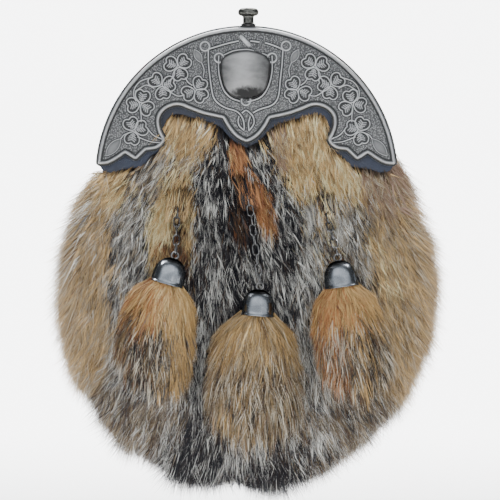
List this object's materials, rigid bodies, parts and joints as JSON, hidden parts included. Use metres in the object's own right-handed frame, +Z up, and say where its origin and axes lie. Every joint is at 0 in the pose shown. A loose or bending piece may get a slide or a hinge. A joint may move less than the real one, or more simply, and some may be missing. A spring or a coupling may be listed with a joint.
{
  "type": "sporran pouch",
  "caption": "Half-round cast cantle over a long-haired fur pouch with leather back and belt loops, and tassels in domed metal cones hung on fine chains.",
  "frame": {"origin": "between the two belt loops on the back, on the line of the strap that the sporran hangs from", "axes": "+Z up as worn, -Y out of the fur front, +X to the viewer's right"},
  "size_m": [0.201, 0.0638, 0.2428],
  "materials": {
    "pewter": "cast pewter, dark in the pebbled field and rubbed bright on the ridges",
    "board_leather": "smooth dark blue-black leather",
    "turned_metal": "turned and polished",
    "blackened_metal": "blackened",
    "leather": "black grained leather",
    "fur": "long grizzled fur, tan, cream, grey and black",
    "tassel_fur": "long orange-tan fur with grey tips",
    "dark_chrome": "polished dark chrome",
    "chain_metal": "bright plated wire"
  },
  "bodies": {
    "root": {"cantle": "pewter", "cantle_board": "board_leather", "knob": "turned_metal", "knob_collar": "blackened_metal", "pouch_wall": "leather", "back_panel": "leather", "belt_loop_left": "leather", "belt_loop_right": "leather", "fur_coat": "fur", "tassel_hair_left": "tassel_fur", "tassel_hair_center": "tassel_fur", "tassel_hair_right": "tassel_fur", "tassel_cone_left": "dark_chrome", "tassel_cone_center": "dark_chrome", "tassel_cone_right": "dark_chrome", "chain_left": "chain_metal", "chain_center": "chain_metal", "chain_right": "chain_metal", "chain_staple_left": "chain_metal", "chain_staple_center": "chain_metal", "chain_staple_right": "chain_metal"}
  },
  "joints": []
}
